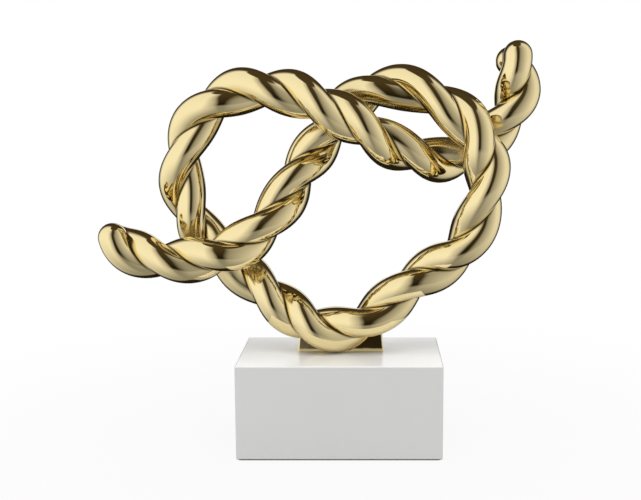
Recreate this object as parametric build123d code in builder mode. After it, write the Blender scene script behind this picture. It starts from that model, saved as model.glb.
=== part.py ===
from build123d import *
from math import cos, radians, sin
import os

# A polished two-strand rope tied in an overhand knot. It stands on a foot block, which is
# screwed from below to a white base with a felt sheet under it.
# Sizes are in millimetres. The origin is the middle of the underside, +X is to the right as
# the knot is looked at, +Y points away from the viewer and +Z is up.

# Base and felt
base_width = 160
base_depth = 100
base_height = 74
base_edge_cut = 0.7
felt_thickness = 1
felt_inset = 1.5
felt_corner_radius = 2

# Rope. Each strand is a many-sided bar, bent in short lengths, and the second one is hollowed
# along its inner side so that it nests against the first.
strand_radius = 11.5
strand_sides = 14
lay_radius = 6.9
seam_gap = 0.3
crossing_gap = 0.8
rest_gap = 0.5
first_strand_half_turns = (0.64, 26.44)
second_strand_half_turns = (0.7, 26.36)
lengths_per_half_turn = 4
tip_step = 0.3

# Route of the rope's axis, one point for each half turn of the lay, where one strand lies
# straight in front of the other: place to the right, place towards the viewer as a share of
# the lift at a crossing, and height over the lowest stretch.
route_unit = 1
route = (
    (-203, 0.2, 119),
    (-176, 0.5, 72.5),
    (-136.5, 0.8, 58.2),
    (-94.5, 1, 62.5),
    (-58, 0.5, 85),
    (-33.5, -0.4, 123),
    (-8.5, -1, 158.5),
    (26.5, -0.75, 190.5),
    (75.5, 0.2, 183.5),
    (108, 0.95, 152),
    (113, 0.9, 112),
    (95, 0.5, 64.8),
    (57.5, 0.3, 38.8),
    (20.5, 0.15, 6.5),
    (-22.5, 0.15, 2.5),
    (-57, -0.3, 26.8),
    (-93, -1, 52.8),
    (-121, -0.9, 89),
    (-125, -0.3, 138),
    (-99.5, 0, 179.3),
    (-57, 0.4, 190.8),
    (-16, 0.9, 180),
    (22.5, 0.9, 158),
    (60.5, -0.1, 138),
    (101, -0.95, 139.5),
    (135, -0.95, 171.5),
    (139, -0.8, 209),
    (117, -0.6, 247),
)
foot_half_turns = (12, 15)

# Foot block, whose sides lean inwards by a draft angle
block_width = 69
block_depth = 20
block_height = 18
block_draft = 5
block_front = 3.5
block_edge_radius = 1
saddle_gap = 0.3

# Screws and washers
screw_diameter = 6
screw_length = 40
screw_head_diameter = 10
screw_head_height = 6
screw_socket_width = 5
screw_socket_depth = 3
screw_tip_chamfer = 0.8
screw_spacing = 46
screw_to_block_back = 7
thread_reach = 8
thread_tip_room = 0.8
thread_gap = 0.1
washer_diameter = 12.5
washer_thickness = 1.6
shank_gap = 0.3
counterbore_gap = 1.5

# Places that follow from the sizes
base_top = felt_thickness + base_height
rope_radius = lay_radius + strand_radius
lift = rope_radius + crossing_gap / 2
block_middle = block_depth / 2 - block_front
screw_line = block_depth - block_front - screw_to_block_back
screw_spots = [(side * screw_spacing / 2, screw_line) for side in (-1, 1)]
screw_seat = base_top + thread_reach - screw_length
washer_seat = screw_seat + washer_thickness

points = [Vector(right * route_unit, -near * lift, height * route_unit) for right, near, height in route]
spans = [(after - before).length for before, after in zip(points, points[1:])]
half_pitch = sum(spans) / len(spans)


def bends_through(points):
    """Second derivatives of the smooth curve through the points, straight at both ends."""
    ratios = [0]
    shares = [Vector()]
    for before, here, after in zip(points, points[1:], points[2:]):
        ratio = 1 / (4 - ratios[-1])
        shares.append(((before - here * 2 + after) * 6 - shares[-1]) * ratio)
        ratios.append(ratio)
    bends = [Vector()]
    for share, ratio in zip(reversed(shares), reversed(ratios)):
        bends.insert(0, share - bends[0] * ratio)
    return bends


bends = bends_through(points)


def axis_at(half_turn):
    """Place on the rope's axis and the way it runs there, before the rope is set on its foot."""
    k = min(int(half_turn), len(points) - 2)
    s = half_turn - k
    r = 1 - s
    place = points[k] * r + points[k + 1] * s
    place -= (bends[k] * (2 - s) + bends[k + 1] * (1 + s)) * (s * r / 6)
    way = points[k + 1] - points[k]
    way += (bends[k + 1] * (3 * s * s - 1) - bends[k] * (3 * r * r - 1)) * (1 / 6)
    return place, way.normalized()


# The rope is set down until its lowest stretch rests on the base
foot_first, foot_last = foot_half_turns
foot_steps = (foot_last - foot_first) * lengths_per_half_turn
foot_heights = [axis_at(foot_first + step / lengths_per_half_turn)[0].Z for step in range(foot_steps + 1)]
rope_rise = base_top + rest_gap + rope_radius - min(foot_heights)


def strand_place(half_turn, lead):
    """Place on a strand's middle line, which winds around the rope's axis."""
    place, way = axis_at(half_turn)
    viewer = Vector(0, -1, 0)
    front = (viewer - way * viewer.dot(way)).normalized()
    side = way.cross(front)
    phase = radians(180 * half_turn + lead)
    return place + Vector(0, 0, rope_rise) + (front * cos(phase) + side * sin(phase)) * lay_radius


def strand_line(half_turns, lead):
    """A strand's middle line from one tip's dome to the other's, in short straight lengths."""
    dome = strand_radius / half_pitch
    start = half_turns[0] + dome
    full = half_turns[1] - dome - start
    count = round(full * lengths_per_half_turn)
    with BuildLine() as middle:
        Polyline(*[strand_place(start + full * step / count, lead) for step in range(count + 1)])
    return middle.line


def strand_outline(middle, room=0):
    """A strand's many-sided outline at the start of its middle line, larger by any room."""
    with BuildSketch(Plane(middle @ 0, z_dir=middle % 0)) as outline:
        RegularPolygon(strand_radius + room, strand_sides)
    return outline.sketch


first_line = strand_line(first_strand_half_turns, 0)
second_line = strand_line(second_strand_half_turns, 180)
first_tips = Locations(first_line @ 0, first_line @ 1)
second_tips = Locations(second_line @ 0, second_line @ 1)
tip_radius = strand_radius - tip_step
os.makedirs("parts", exist_ok=True)

# First strand of the rope, with domed tips
with BuildPart() as first_strand:
    sweep(strand_outline(first_line), path=first_line, transition=Transition.RIGHT)
    with first_tips:
        Sphere(tip_radius)
first_strand.part.label = "first_strand"
export_step(first_strand.part, "parts/first_strand.step")

# Second strand, hollowed along its length to nest against the first one
with BuildPart() as second_strand:
    sweep(strand_outline(second_line), path=second_line, transition=Transition.RIGHT)
    with second_tips:
        Sphere(tip_radius)
    hollow = strand_outline(first_line, seam_gap)
    sweep(hollow, path=first_line, transition=Transition.RIGHT, mode=Mode.SUBTRACT)
    with first_tips:
        Sphere(strand_radius + 2 * seam_gap, mode=Mode.SUBTRACT)
second_strand.part.label = "second_strand"
export_step(second_strand.part, "parts/second_strand.step")

# Foot block, with a saddle that both strands lie in and two tapped holes from below
with BuildPart() as foot_block:
    with BuildSketch(Plane.XY.offset(base_top)):
        with Locations((0, block_middle)):
            Rectangle(block_width, block_depth)
    extrude(amount=block_height, taper=block_draft)
    fillet(foot_block.edges().sort_by(Axis.Z)[4:8], block_edge_radius)
    for middle in (first_line, second_line):
        saddle = strand_outline(middle, saddle_gap)
        sweep(saddle, path=middle, transition=Transition.RIGHT, mode=Mode.SUBTRACT)
    with BuildSketch(Plane.XY.offset(base_top)):
        with Locations(*screw_spots):
            Circle(screw_diameter / 2 + thread_gap)
    extrude(amount=thread_reach + thread_tip_room, mode=Mode.SUBTRACT)
foot_block.part.label = "foot_block"
export_step(foot_block.part, "parts/foot_block.step")

# Base block, with softened edges and a counterbored hole for each screw
with BuildPart() as base_block:
    with BuildSketch(Plane.XY.offset(felt_thickness)):
        Rectangle(base_width, base_depth)
    extrude(amount=base_height)
    chamfer(base_block.edges(), base_edge_cut)
    with BuildSketch(Plane.XY.offset(felt_thickness)):
        with Locations(*screw_spots):
            Circle(screw_diameter / 2 + shank_gap)
    extrude(amount=base_height, mode=Mode.SUBTRACT)
    with BuildSketch(Plane.XY.offset(felt_thickness)):
        with Locations(*screw_spots):
            Circle(washer_diameter / 2 + counterbore_gap)
    extrude(amount=washer_seat - felt_thickness, mode=Mode.SUBTRACT)
base_block.part.label = "base_block"
export_step(base_block.part, "parts/base_block.step")

# Socket-head screws from below, with their threads left plain
with BuildPart() as mounting_screws:
    with BuildSketch(Plane.XY.offset(screw_seat)):
        with Locations(*screw_spots):
            Circle(screw_head_diameter / 2)
    extrude(amount=-screw_head_height)
    with BuildSketch(Plane.XY.offset(screw_seat)):
        with Locations(*screw_spots):
            Circle(screw_diameter / 2)
    extrude(amount=screw_length)
    chamfer(mounting_screws.edges().group_by(Axis.Z)[-1], screw_tip_chamfer)
    with BuildSketch(Plane.XY.offset(screw_seat - screw_head_height)):
        with Locations(*screw_spots):
            RegularPolygon(screw_socket_width / 2, 6, major_radius=False)
    extrude(amount=screw_socket_depth, mode=Mode.SUBTRACT)
mounting_screws.part.label = "mounting_screws"
export_step(mounting_screws.part, "parts/mounting_screws.step")

# Flat washers between the screw heads and the base
with BuildPart() as screw_washers:
    with BuildSketch(Plane.XY.offset(screw_seat)):
        with Locations(*screw_spots):
            Circle(washer_diameter / 2)
            Circle(screw_diameter / 2 + shank_gap, mode=Mode.SUBTRACT)
    extrude(amount=washer_thickness)
screw_washers.part.label = "screw_washers"
export_step(screw_washers.part, "parts/screw_washers.step")

# Felt sheet glued to the underside, which closes the counterbores
with BuildPart() as felt_sheet:
    with BuildSketch():
        RectangleRounded(base_width - 2 * felt_inset, base_depth - 2 * felt_inset, felt_corner_radius)
    extrude(amount=felt_thickness)
felt_sheet.part.label = "felt_sheet"
export_step(felt_sheet.part, "parts/felt_sheet.step")
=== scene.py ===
from math import cos, pi, radians, sin

import bpy
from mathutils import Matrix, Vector
from mathutils.kdtree import KDTree


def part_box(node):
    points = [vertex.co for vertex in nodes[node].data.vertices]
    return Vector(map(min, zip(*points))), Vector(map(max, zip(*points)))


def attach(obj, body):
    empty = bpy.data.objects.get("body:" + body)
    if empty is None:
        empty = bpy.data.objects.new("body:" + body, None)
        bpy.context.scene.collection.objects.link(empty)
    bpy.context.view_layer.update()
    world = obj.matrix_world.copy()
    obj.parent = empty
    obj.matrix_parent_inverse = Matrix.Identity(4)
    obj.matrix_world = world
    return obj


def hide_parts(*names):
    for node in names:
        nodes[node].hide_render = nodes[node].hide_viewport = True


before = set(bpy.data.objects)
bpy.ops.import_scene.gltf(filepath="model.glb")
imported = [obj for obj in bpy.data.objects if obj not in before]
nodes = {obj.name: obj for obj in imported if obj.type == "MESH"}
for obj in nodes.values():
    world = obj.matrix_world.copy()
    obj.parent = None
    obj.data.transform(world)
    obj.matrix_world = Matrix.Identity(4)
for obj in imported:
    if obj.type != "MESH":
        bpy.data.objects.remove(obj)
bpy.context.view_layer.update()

# A polished two-strand rope tied in an overhand knot, on a foot block and a white base with felt
# under it. The origin is the middle of the underside, +X is to the right as the knot is looked
# at, +Y points away from the viewer and +Z is up. Lengths are in metres, apart from the route's.
MM = 0.001
TO_VIEWER = Vector((0, -1, 0))

# Sizes that the rope shares with the solids
STRAND_RADIUS = 11.5 * MM
LAY_RADIUS = 6.9 * MM
CROSSING_GAP = 0.8 * MM
REST_GAP = 0.5 * MM
ROPE_RADIUS = LAY_RADIUS + STRAND_RADIUS
LIFT = ROPE_RADIUS + CROSSING_GAP / 2
FIRST_STRAND_HALF_TURNS = (0.64, 26.44)
SECOND_STRAND_HALF_TURNS = (0.7, 26.36)
FOOT_HALF_TURNS = (12, 15)
FOOT_STEPS_PER_HALF_TURN = 4

# How finely the round strands are drawn, and the gap between them where they nest
STEPS_PER_HALF_TURN = 30
BEVEL_STEPS = 14
DOME_STEPS = 14
DOME_END_SHARE = 0.004
MERGE_DISTANCE = 0.001 * MM
STRAND_SMOOTH_ANGLE = radians(40)
SEAM_GAP = 0.15 * MM

# The rope's route in millimetres, one point for each half turn of its lay: place to the right,
# place towards the viewer as a share of the lift at a crossing, and height
ROUTE = (
    (-203, 0.2, 119),
    (-176, 0.5, 72.5),
    (-136.5, 0.8, 58.2),
    (-94.5, 1, 62.5),
    (-58, 0.5, 85),
    (-33.5, -0.4, 123),
    (-8.5, -1, 158.5),
    (26.5, -0.75, 190.5),
    (75.5, 0.2, 183.5),
    (108, 0.95, 152),
    (113, 0.9, 112),
    (95, 0.5, 64.8),
    (57.5, 0.3, 38.8),
    (20.5, 0.15, 6.5),
    (-22.5, 0.15, 2.5),
    (-57, -0.3, 26.8),
    (-93, -1, 52.8),
    (-121, -0.9, 89),
    (-125, -0.3, 138),
    (-99.5, 0, 179.3),
    (-57, 0.4, 190.8),
    (-16, 0.9, 180),
    (22.5, 0.9, 158),
    (60.5, -0.1, 138),
    (101, -0.95, 139.5),
    (135, -0.95, 171.5),
    (139, -0.8, 209),
    (117, -0.6, 247),
)

# Soft edges of the felt
FELT_CORNER_RADIUS = 2 * MM
FELT_CORNER_STEPS = 5
FELT_EDGE_RADIUS = 0.25 * MM
FELT_EDGE_STEPS = 3
FELT_SMOOTH_ANGLE = radians(30)

# Colours of the finishes: each varies between two, and the gold has a third, painted shade for its
# seams
GOLD_DEEP = (0.86, 0.715, 0.38, 1)
GOLD_PALE = (0.90, 0.76, 0.43, 1)
GOLD_PAINTED_CREASE_SHADE = (0.20, 0.16, 0.09, 1)
LACQUER_DIM = (0.79, 0.79, 0.785, 1)
LACQUER_PALE = (0.82, 0.82, 0.815, 1)
STEEL_DIM = (0.50, 0.50, 0.51, 1)
STEEL_PALE = (0.66, 0.66, 0.67, 1)
FELT_DEEP = (0.012, 0.012, 0.013, 1)
FELT_PALE = (0.055, 0.055, 0.058, 1)

# The gold's polish, and how it dulls and darkens with painted shade near the other strand and a
# crossing limb
GOLD_ROUGHNESS = (0.03, 0.08)
STREAK_SHARE = 0.12
SEAM_POLISHED = 2 * MM
SEAM_DULL_AND_SHADED = 0.1 * MM
SEAM_ROUGHNESS = 0.25
CROSSING_POLISHED = 18 * MM
CROSSING_DULL_AND_SHADED = 6 * MM
CROSSING_ROUGHNESS = 0.32
CROSSING_PAINTED_SHADE = 0.15
CROSSING_SEARCH = 20 * MM
OTHER_LIMB_HALF_TURNS = 1.5


class Wire:
    """A value inside a finish. Python's operators on it add Math nodes."""

    def __init__(self, finish, socket):
        self.finish = finish
        self.socket = socket

    def math(self, operation, first, second):
        return self.finish.node("ShaderNodeMath", {"operation": operation}, {0: first, 1: second})

    def __add__(self, other):
        return self.math("ADD", self, other)

    __radd__ = __add__

    def __sub__(self, other):
        return self.math("SUBTRACT", self, other)

    def __rsub__(self, other):
        return self.math("SUBTRACT", other, self)

    def __mul__(self, other):
        return self.math("MULTIPLY", self, other)

    __rmul__ = __mul__

    def __pow__(self, other):
        return self.math("POWER", self, other)


class Finish:
    """Node tree of a material or of the world, with one way to add any node."""

    def __init__(self, owner):
        owner.use_nodes = True
        self.owner = owner
        self.tree = owner.node_tree
        self.tree.nodes.clear()

    def node(self, kind, settings=None, sockets=None, output=0):
        made = self.tree.nodes.new(kind)
        for name, value in (settings or {}).items():
            setattr(made, name, value)
        for name, value in (sockets or {}).items():
            if isinstance(value, Wire):
                self.tree.links.new(value.socket, made.inputs[name])
            else:
                made.inputs[name].default_value = value
        return Wire(self, made.outputs[output]) if made.outputs else None

    def mark(self, name, output="Fac"):
        return self.node("ShaderNodeAttribute", {"attribute_name": name}, output=output)

    def noise(self, scale, detail, roughness=0.5, place=None):
        place = place or self.node("ShaderNodeTexCoord", output="Object")
        sockets = {"Vector": place, "Scale": scale, "Detail": detail, "Roughness": roughness}
        return self.node("ShaderNodeTexNoise", {}, sockets)

    def mix(self, share, first, second):
        sockets = {0: share, 6: first, 7: second}
        return self.node("ShaderNodeMix", {"data_type": "RGBA"}, sockets, output=2)

    def step(self, value, low, high, kind="SMOOTHSTEP"):
        sockets = {"Value": value, "From Min": low, "From Max": high}
        return self.node("ShaderNodeMapRange", {"interpolation_type": kind}, sockets)

    def bump(self, height, distance, strength, normal=None):
        sockets = {"Height": height, "Distance": distance, "Strength": strength}
        if normal:
            sockets["Normal"] = normal
        return self.node("ShaderNodeBump", {}, sockets)

    def shade(self, sockets):
        surface = self.node("ShaderNodeBsdfPrincipled", {}, sockets)
        self.node("ShaderNodeOutputMaterial", {}, {"Surface": surface})
        return self.owner


def grey(level):
    return (level, level, level, 1)


def between(share, low, high):
    """Low where the share is nought, high where it is one."""
    return low + (high - low) * share


def wavy_gold(finish):
    """The colour and the slight waves that all the gold has."""
    broad = finish.noise(scale=28, detail=2)
    waves = finish.bump(broad, distance=0.3 * MM, strength=0.5)
    return finish.mix(broad, GOLD_DEEP, GOLD_PALE), waves


def polished_gold():
    """Gold of the foot block: slightly wavy, with a fine polish."""
    finish = Finish(bpy.data.materials.new("polished_gold"))
    colour, waves = wavy_gold(finish)
    fine = finish.noise(scale=420, detail=3)
    return finish.shade(
        {
            "Base Color": colour,
            "Metallic": 1.0,
            "Roughness": between(fine, *GOLD_ROUGHNESS),
            "Normal": finish.bump(fine, distance=0.01 * MM, strength=0.5, normal=waves),
        }
    )


def strand_gold():
    """Gold of the strands: polished along their length, and duller where a wheel can't reach,
    in the crease between them and next to a crossing, where painted shade also darkens the colour."""
    finish = Finish(bpy.data.materials.new("strand_gold"))
    lay = finish.mark("lay", "Vector")
    # Masks for the crease between the strands and for a crossing limb: each makes the gold duller and
    # darkens its colour with painted shade
    seam_dull_and_shade = finish.step(finish.mark("gap"), SEAM_POLISHED, SEAM_DULL_AND_SHADED)
    crossing_dull_and_shade = finish.step(finish.mark("clear"), CROSSING_POLISHED, CROSSING_DULL_AND_SHADED)
    colour, waves = wavy_gold(finish)
    streaks = finish.noise(scale=160, detail=2, place=lay)
    fine = finish.noise(scale=900, detail=3, place=lay)
    polish = between(fine, *GOLD_ROUGHNESS)
    # Painted shade: next to a crossing limb the colour darkens a little towards the crease's dark
    # brown
    colour_with_crossing_shade = finish.mix(CROSSING_PAINTED_SHADE * crossing_dull_and_shade, colour, GOLD_PAINTED_CREASE_SHADE)
    return finish.shade(
        {
            # Painted shade: in the crease between the strands the colour goes to a dark brown
            "Base Color": finish.mix(seam_dull_and_shade, colour_with_crossing_shade, GOLD_PAINTED_CREASE_SHADE),
            "Metallic": 1.0,
            "Roughness": polish + SEAM_ROUGHNESS * seam_dull_and_shade + CROSSING_ROUGHNESS * crossing_dull_and_shade,
            "Normal": finish.bump(streaks, distance=0.14 * MM, strength=0.5, normal=waves),
        }
    )


def white_lacquer():
    """Lacquer of the base: white and satin, with a faint pebbling from the spray."""
    finish = Finish(bpy.data.materials.new("white_lacquer"))
    broad = finish.noise(scale=22, detail=3)
    pebbles = finish.noise(scale=900, detail=2)
    return finish.shade(
        {
            "Base Color": finish.mix(broad, LACQUER_DIM, LACQUER_PALE),
            "Roughness": between(pebbles, 0.16, 0.24),
            "Normal": finish.bump(pebbles, distance=0.02 * MM, strength=0.4),
        }
    )


def bright_steel():
    """Steel of the screws and washers: bright, with a fine grain."""
    finish = Finish(bpy.data.materials.new("bright_steel"))
    grain = finish.noise(scale=1500, detail=2)
    return finish.shade(
        {
            "Base Color": finish.mix(grain, STEEL_DIM, STEEL_PALE),
            "Metallic": 1.0,
            "Roughness": between(grain, 0.28, 0.43),
            "Normal": finish.bump(grain, distance=0.01 * MM, strength=0.4),
        }
    )


def dark_felt():
    """Felt under the base: dark and tufted, and slightly uneven in colour."""
    finish = Finish(bpy.data.materials.new("dark_felt"))
    tufts = finish.noise(scale=700, detail=6, roughness=0.75)
    cloud = finish.noise(scale=60, detail=3)
    return finish.shade(
        {
            "Base Color": finish.mix(between(0.3, tufts, cloud), FELT_DEEP, FELT_PALE),
            "Roughness": 0.95,
            "Sheen Weight": 0.4,
            "Sheen Roughness": 0.5,
            "Normal": finish.bump(tufts, distance=0.3 * MM, strength=0.8),
        }
    )


def bends_through(points):
    """Second derivatives of the smooth curve through the points, straight at both ends."""
    ratios = [0]
    shares = [Vector()]
    for before, here, after in zip(points, points[1:], points[2:]):
        ratio = 1 / (4 - ratios[-1])
        shares.append(((before - here * 2 + after) * 6 - shares[-1]) * ratio)
        ratios.append(ratio)
    bends = [Vector()]
    for share, ratio in zip(reversed(shares), reversed(ratios)):
        bends.insert(0, share - bends[0] * ratio)
    return bends


POINTS = [Vector((right * MM, -near * LIFT, height * MM)) for right, near, height in ROUTE]
BENDS = bends_through(POINTS)
HALF_PITCH = sum((b - a).length for a, b in zip(POINTS, POINTS[1:])) / (len(POINTS) - 1)


def axis_at(half_turn):
    """Place on the rope's axis and the way it runs there, before the rope is set on its foot."""
    k = min(int(half_turn), len(POINTS) - 2)
    s = half_turn - k
    r = 1 - s
    place = POINTS[k] * r + POINTS[k + 1] * s
    place -= (BENDS[k] * (2 - s) + BENDS[k + 1] * (1 + s)) * (s * r / 6)
    way = POINTS[k + 1] - POINTS[k]
    way += (BENDS[k + 1] * (3 * s * s - 1) - BENDS[k] * (3 * r * r - 1)) / 6
    return place, way.normalized()


def rope_rise():
    """How far the rope is lifted, so that its lowest stretch rests on the base."""
    first, last = FOOT_HALF_TURNS
    steps = (last - first) * FOOT_STEPS_PER_HALF_TURN
    places = [axis_at(first + k / FOOT_STEPS_PER_HALF_TURN)[0] for k in range(steps + 1)]
    base_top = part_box("base_block")[1].z
    return Vector((0, 0, base_top + REST_GAP + ROPE_RADIUS - min(place.z for place in places)))


ROPE_RISE = rope_rise()


def front_of(way):
    """The direction square to the way that points most towards the viewer."""
    return (TO_VIEWER - way * TO_VIEWER.dot(way)).normalized()


def strand_place(half_turn, lead):
    """Place on a strand's middle line, which winds around the rope's axis."""
    place, way = axis_at(half_turn)
    front = front_of(way)
    side = way.cross(front)
    phase = pi * half_turn + lead
    return place + ROPE_RISE + (front * cos(phase) + side * sin(phase)) * LAY_RADIUS


def deselect_all():
    bpy.ops.object.select_all(action="DESELECT")


def make_active(piece):
    deselect_all()
    piece.select_set(True)
    bpy.context.view_layer.objects.active = piece


def strand_line(lead, half_turns, radius):
    """Places along a strand's middle line, each with its share of the radius: full along the
    strand, and less and less over the dome at each tip."""
    dome = STRAND_RADIUS / HALF_PITCH
    start = half_turns[0] + dome
    full = half_turns[1] - dome - start
    steps = round(full * STEPS_PER_HALF_TURN)
    middle = [(strand_place(start + full * k / steps, lead), 1.0) for k in range(steps + 1)]
    angles = [pi / 2 * k / DOME_STEPS for k in range(1, DOME_STEPS + 1)]
    tips = []
    for here, inner in ((middle[0][0], middle[1][0]), (middle[-1][0], middle[-2][0])):
        outward = (here - inner).normalized() * radius
        tips.append([(here + outward * sin(a), max(cos(a), DOME_END_SHARE)) for a in angles])
    return list(reversed(tips[0])) + middle + tips[1]


def strand_bar(name, lead, half_turns, radius):
    """A round bar along a strand's middle line, with a dome at each tip."""
    line = strand_line(lead, half_turns, radius)
    curve = bpy.data.curves.new(name, "CURVE")
    curve.dimensions = "3D"
    curve.bevel_depth = radius
    curve.bevel_resolution = BEVEL_STEPS
    curve.use_fill_caps = True
    spline = curve.splines.new("POLY")
    spline.points.add(len(line) - 1)
    for point, (place, share) in zip(spline.points, line):
        point.co = (*place, 1)
        point.radius = share
    bar = bpy.data.objects.new(name, curve)
    bpy.context.scene.collection.objects.link(bar)
    make_active(bar)
    bpy.ops.object.convert(target="MESH")
    bar = bpy.context.view_layer.objects.active
    bpy.ops.object.mode_set(mode="EDIT")
    bpy.ops.mesh.select_all(action="SELECT")
    bpy.ops.mesh.remove_doubles(threshold=MERGE_DISTANCE)
    bpy.ops.mesh.normals_make_consistent(inside=False)
    bpy.ops.object.mode_set(mode="OBJECT")
    return bar


def middle_tree(lead):
    """Places along a strand's middle line, with a tree that finds the nearest one."""
    count = (len(POINTS) - 1) * STEPS_PER_HALF_TURN
    places = [strand_place(k / STEPS_PER_HALF_TURN, lead) for k in range(count + 1)]
    tree = KDTree(len(places))
    for k, place in enumerate(places):
        tree.insert(place, k)
    tree.balance()
    return places, tree


def mark_lay(strand, lead):
    """Stores each corner's place across and along its strand, its gap to the other strand, and
    how clear it is of a limb that crosses it."""
    places, tree = middle_tree(lead)
    other_tree = middle_tree(lead + pi)[1]
    reach = STRAND_RADIUS + CROSSING_SEARCH
    limb = OTHER_LIMB_HALF_TURNS * STEPS_PER_HALF_TURN
    lays = []
    gaps = []
    clears = []
    for corner in strand.data.vertices:
        middle, k, _ = tree.find(corner.co)
        way = (places[min(k + 1, len(places) - 1)] - places[max(k - 1, 0)]).normalized()
        front = front_of(way)
        across = corner.co - middle
        along = k / STEPS_PER_HALF_TURN * HALF_PITCH + across.dot(way)
        lays.extend((across.dot(front), across.dot(way.cross(front)), along * STREAK_SHARE))
        gaps.append(other_tree.find(corner.co)[2] - STRAND_RADIUS)
        near = tree.find_range(corner.co, reach) + other_tree.find_range(corner.co, reach)
        others = [distance for _, n, distance in near if abs(n - k) > limb]
        clears.append(min(others, default=reach) - STRAND_RADIUS)
    for name, kind, field, values in (
        ("lay", "FLOAT_VECTOR", "vector", lays),
        ("gap", "FLOAT", "value", gaps),
        ("clear", "FLOAT", "value", clears),
    ):
        strand.data.attributes.new(name, kind, "POINT").data.foreach_set(field, values)


def felt_pad():
    """The felt under the base: a thin slab with rounded corners and soft edges."""
    low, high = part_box("felt_sheet")
    deselect_all()
    bpy.ops.mesh.primitive_cube_add(size=1, location=(low + high) / 2)
    pad = bpy.context.view_layer.objects.active
    pad.name = "felt_pad"
    pad.scale = high - low
    bpy.ops.object.transform_apply(location=True, rotation=True, scale=True)
    bpy.ops.object.mode_set(mode="EDIT")
    bpy.ops.mesh.select_mode(type="EDGE")
    bpy.ops.mesh.select_all(action="DESELECT")
    bpy.ops.object.mode_set(mode="OBJECT")
    for edge in pad.data.edges:
        a, b = (pad.data.vertices[v].co for v in edge.vertices)
        upright = abs(a.z - b.z) > MERGE_DISTANCE
        edge.select = upright
    bpy.ops.object.mode_set(mode="EDIT")
    bpy.ops.mesh.bevel(
        offset=FELT_CORNER_RADIUS, offset_type="OFFSET", segments=FELT_CORNER_STEPS, affect="EDGES"
    )
    bpy.ops.object.mode_set(mode="OBJECT")
    soften = pad.modifiers.new("soft_edge", "BEVEL")
    soften.width = FELT_EDGE_RADIUS
    soften.segments = FELT_EDGE_STEPS
    soften.limit_method = "ANGLE"
    bpy.ops.object.modifier_apply(modifier=soften.name)
    bpy.ops.object.shade_smooth_by_angle(angle=FELT_SMOOTH_ANGLE)
    return pad, high - low


def dress(piece, node, material):
    """Puts a new piece in a node's place, with its finish."""
    piece.data.materials.clear()
    piece.data.materials.append(material)
    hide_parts(node)
    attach(piece, "root")


# Strands of the rope. The second one is hollowed along its inner side to nest on the first.
first = strand_bar("rope_first_strand", 0, FIRST_STRAND_HALF_TURNS, STRAND_RADIUS)
second = strand_bar("rope_second_strand", pi, SECOND_STRAND_HALF_TURNS, STRAND_RADIUS)
hollow = strand_bar("strand_hollow", 0, FIRST_STRAND_HALF_TURNS, STRAND_RADIUS + SEAM_GAP)
make_active(second)
cut = second.modifiers.new("nest", "BOOLEAN")
cut.operation = "DIFFERENCE"
cut.solver = "MANIFOLD"
cut.object = hollow
bpy.ops.object.modifier_apply(modifier=cut.name)
bpy.data.objects.remove(hollow)
rope_gold = strand_gold()
for strand, node, lead in ((first, "first_strand", 0), (second, "second_strand", pi)):
    make_active(strand)
    bpy.ops.object.shade_smooth_by_angle(angle=STRAND_SMOOTH_ANGLE)
    mark_lay(strand, lead)
    dress(strand, node, rope_gold)

# Felt under the base
pad, pad_size = felt_pad()
dress(pad, "felt_sheet", dark_felt())

# Pieces that keep the shape of their solids
steel = bright_steel()
for node, material in (
    ("foot_block", polished_gold()),
    ("base_block", white_lacquer()),
    ("mounting_screws", steel),
    ("screw_washers", steel),
):
    nodes[node].data.materials.clear()
    nodes[node].data.materials.append(material)

# Floor and room. The camera sees both as white, and the floor keeps some of the object's shadow.
FLOOR_SIZE = 8
FLOOR_GREY = 0.35
FLOOR_WHITE_BY_OBJECT = 0.93
FLOOR_FADE = (0.1, 0.5)
ROOM_GREY = 0.9


def seen_plainly(finish):
    """One for what the camera, a reflection or a glass sees, and nought for the light itself."""
    camera, glossy, through = (
        finish.node("ShaderNodeLightPath", output=f"Is {kind} Ray")
        for kind in ("Camera", "Glossy", "Transmission")
    )
    return camera + glossy + through


def studio_paper():
    """The floor's paper: white where it is seen, with a little of its own shade near the object."""
    finish = Finish(bpy.data.materials.new("studio_paper"))
    place = finish.node("ShaderNodeTexCoord", output="Object")
    distance = finish.node("ShaderNodeVectorMath", {"operation": "LENGTH"}, {0: place}, output="Value")
    faded = between(finish.step(distance, *FLOOR_FADE, "LINEAR"), FLOOR_WHITE_BY_OBJECT, 1)
    lit = finish.node("ShaderNodeBsdfDiffuse", {}, {"Color": grey(FLOOR_GREY)})
    white = finish.node("ShaderNodeEmission", {}, {"Color": grey(1), "Strength": 1.0})
    white_share = faded * seen_plainly(finish)
    surface = finish.node("ShaderNodeMixShader", {}, {0: white_share, 1: lit, 2: white})
    finish.node("ShaderNodeOutputMaterial", {}, {"Surface": surface})
    return finish.owner


def studio_room():
    """The room around the floor: an even light, a little under white."""
    finish = Finish(bpy.data.worlds.new("studio_room"))
    dim = finish.node("ShaderNodeBackground", {}, {"Color": grey(ROOM_GREY), "Strength": 1.0})
    white = finish.node("ShaderNodeBackground", {}, {"Color": grey(1), "Strength": 1.0})
    surface = finish.node("ShaderNodeMixShader", {}, {0: seen_plainly(finish), 1: dim, 2: white})
    finish.node("ShaderNodeOutputWorld", {}, {"Surface": surface})
    return finish.owner


deselect_all()
bpy.ops.mesh.primitive_plane_add(size=FLOOR_SIZE, location=(0, 0, 0))
floor = bpy.context.view_layer.objects.active
floor.name = "studio_floor"
floor.visible_glossy = False
floor.data.materials.append(studio_paper())
bpy.context.scene.world = studio_room()

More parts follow.
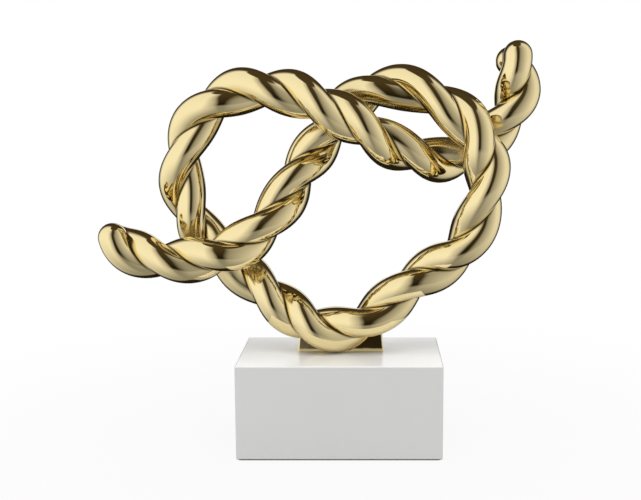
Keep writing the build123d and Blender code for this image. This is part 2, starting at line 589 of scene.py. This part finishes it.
# Light tent: a ball of cloth around the object, which reflections show and the camera doesn't.
# It is bright to the left and right of the viewer, with a dark opening between, and dark overhead
# and to the rear, around a white backdrop. Its lower half dims as a table would, and stands in
# for the floor, which reflections don't show.
TENT_RADIUS = 1.2
TENT_MIDDLE = (0, 0, 0.2)
TENT_SEGMENTS = 96
TENT_RINGS = 48
TENT_SHADE = (1, 0.72, 0.36, 1)
TABLE_GREY = 0.3
TABLE_FADE = (0.15, 0.4)
OPENING_MIDDLE = radians(1.5)
OPENING_HALF_WIDTH = radians(5)
OPENING_FLARE = radians(14)
REAR_FADE = (radians(104), radians(138))
TOP_FADE = (0.92, 0.95)
BACKDROP_EDGE = (0.90, 0.94)
BACKDROP_FOOT = (-0.05, 0.05)


def tent_cloth():
    """The tent's light, which goes by the direction from its middle."""
    finish = Finish(bpy.data.materials.new("tent_cloth"))
    step = finish.step
    place = finish.node("ShaderNodeTexCoord", output="Object")
    way = finish.node("ShaderNodeVectorMath", {"operation": "NORMALIZE"}, {0: place})
    right, back, up = (finish.node("ShaderNodeSeparateXYZ", {}, {0: way}, output=k) for k in range(3))
    around = finish.node("ShaderNodeMath", {"operation": "ARCTAN2"}, {0: right, 1: 0 - back})

    def size_of(value):
        return finish.node("ShaderNodeMath", {"operation": "ABSOLUTE"}, {0: value})

    above = step(up, 0, 1, "LINEAR")
    below = step(0 - up, 0, 1, "LINEAR")
    to_right = step(around, -0.1, 0.1)

    # The bright cloth dims a little to the right and overhead, and more below
    by_side = between(to_right, 1.07, 0.90)
    by_height = between(above * above, 1, 0.9) * between(below**1.8, 1, 0.28)
    bright = by_side * by_height

    # Each side of the opening has a steep edge and then a slope, which is longer to the right
    aside = size_of(around - OPENING_MIDDLE) - OPENING_FLARE * above * above
    edge_end = between(to_right, radians(14), radians(17))
    slope_end = between(to_right, radians(34), radians(78))
    edge_share = between(to_right, 0.5, 0.35)
    edge = edge_share * step(aside, OPENING_HALF_WIDTH, edge_end, "LINEAR")
    slope = (1 - edge_share) * step(aside, edge_end, slope_end, "LINEAR")

    from_rear = 1 - step(size_of(around), *REAR_FADE)
    from_top = 1 - step(up, *TOP_FADE)
    lit = (edge + slope) * from_rear * from_top
    unlit = finish.mix(between(above, 0.02, 0.07), grey(0), TENT_SHADE)
    dark = finish.mix(step(below, *TABLE_FADE) * from_rear, unlit, grey(TABLE_GREY))
    backdrop = step(back, *BACKDROP_EDGE) * step(up, *BACKDROP_FOOT)
    light = finish.mix(backdrop, finish.mix(lit, dark, bright), grey(1))
    glow = finish.node("ShaderNodeEmission", {}, {"Color": light, "Strength": 1.0})
    finish.node("ShaderNodeOutputMaterial", {}, {"Surface": glow})
    return finish.owner


deselect_all()
bpy.ops.mesh.primitive_uv_sphere_add(
    segments=TENT_SEGMENTS, ring_count=TENT_RINGS, radius=TENT_RADIUS, location=TENT_MIDDLE
)
tent = bpy.context.view_layer.objects.active
tent.name = "light_tent"
tent.visible_camera = False
tent.visible_diffuse = False
tent.visible_shadow = False
tent.data.materials.append(tent_cloth())

# Lamp panel above and in front, aimed at the foot of the knot. Reflections don't show it.
LAMP_PLACE = Vector((0, -0.35, 1.25))
LAMP_TARGET = Vector((0, 0, 0.1))
LAMP_WIDTH = 1.0
LAMP_DEPTH = 0.8
LAMP_LEVEL = 3.0
lamp = bpy.data.lights.new("softbox_above", "AREA")
lamp.shape = "RECTANGLE"
lamp.size = LAMP_WIDTH
lamp.size_y = LAMP_DEPTH
lamp.energy = LAMP_LEVEL * pi * LAMP_WIDTH * LAMP_DEPTH
panel = bpy.data.objects.new("softbox_above", lamp)
bpy.context.scene.collection.objects.link(panel)
panel.location = LAMP_PLACE
panel.rotation_euler = (LAMP_TARGET - LAMP_PLACE).to_track_quat("-Z", "Y").to_euler()
panel.visible_glossy = False

# Camera, fitted to the corners of the base in the photograph
CAMERA_PLACE = (0.024989, -0.853148, 0.282624)
CAMERA_DOWN = radians(8.328)
CAMERA_LENS = 60.648
CAMERA_SHIFT = -0.0799
camera = bpy.data.objects.new("camera", bpy.data.cameras.new("camera"))
bpy.context.scene.collection.objects.link(camera)
camera.location = CAMERA_PLACE
camera.rotation_euler = (pi / 2 - CAMERA_DOWN, 0, 0)
camera.data.lens = CAMERA_LENS
camera.data.shift_x = CAMERA_SHIFT
bpy.context.scene.camera = camera
bpy.context.scene.view_settings.view_transform = "Standard"
